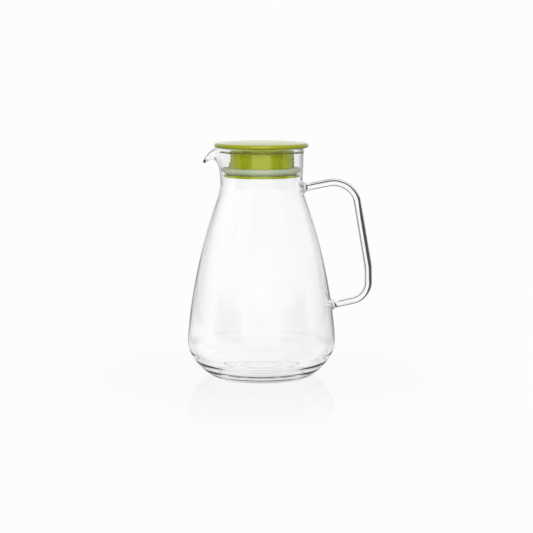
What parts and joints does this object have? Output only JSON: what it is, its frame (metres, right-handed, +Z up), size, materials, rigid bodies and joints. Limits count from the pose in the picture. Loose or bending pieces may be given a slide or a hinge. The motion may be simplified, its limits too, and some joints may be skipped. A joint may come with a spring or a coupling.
{
  "type": "glass jug",
  "caption": "Clear glass jug with a pulled spout, a glass rod handle, and a push-in plastic lid with a soft seal, a pour window and a strainer side.",
  "frame": {"origin": "centre of the foot ring, on the surface that the jug stands on", "axes": "+Z up along the jug's axis, +X towards the handle, -X towards the spout"},
  "size_m": [0.1896, 0.1516, 0.24],
  "materials": {
    "clear_glass": "clear, polished",
    "lime_plastic": "gloss, moulded",
    "lime_sleeve_plastic": "gloss, moulded",
    "seal_silicone": "satin, translucent"
  },
  "bodies": {
    "jug": {"glass_body": "clear_glass", "glass_handle": "clear_glass"},
    "seal": {"lid_gasket": "seal_silicone"},
    "lid": {"lid_cap": "lime_plastic", "lid_sleeve": "lime_sleeve_plastic"}
  },
  "joints": [
    {"name": "lid_lift", "type": "slide", "parent": "jug", "child": "seal", "axis": [0, 0, 1], "range_m": [0, 0.06]},
    {"name": "lid_turn", "type": "hinge", "parent": "seal", "child": "lid", "pos_m": [0, 0, 0.2338], "axis": [0, 0, 1], "continuous": true}
  ]
}
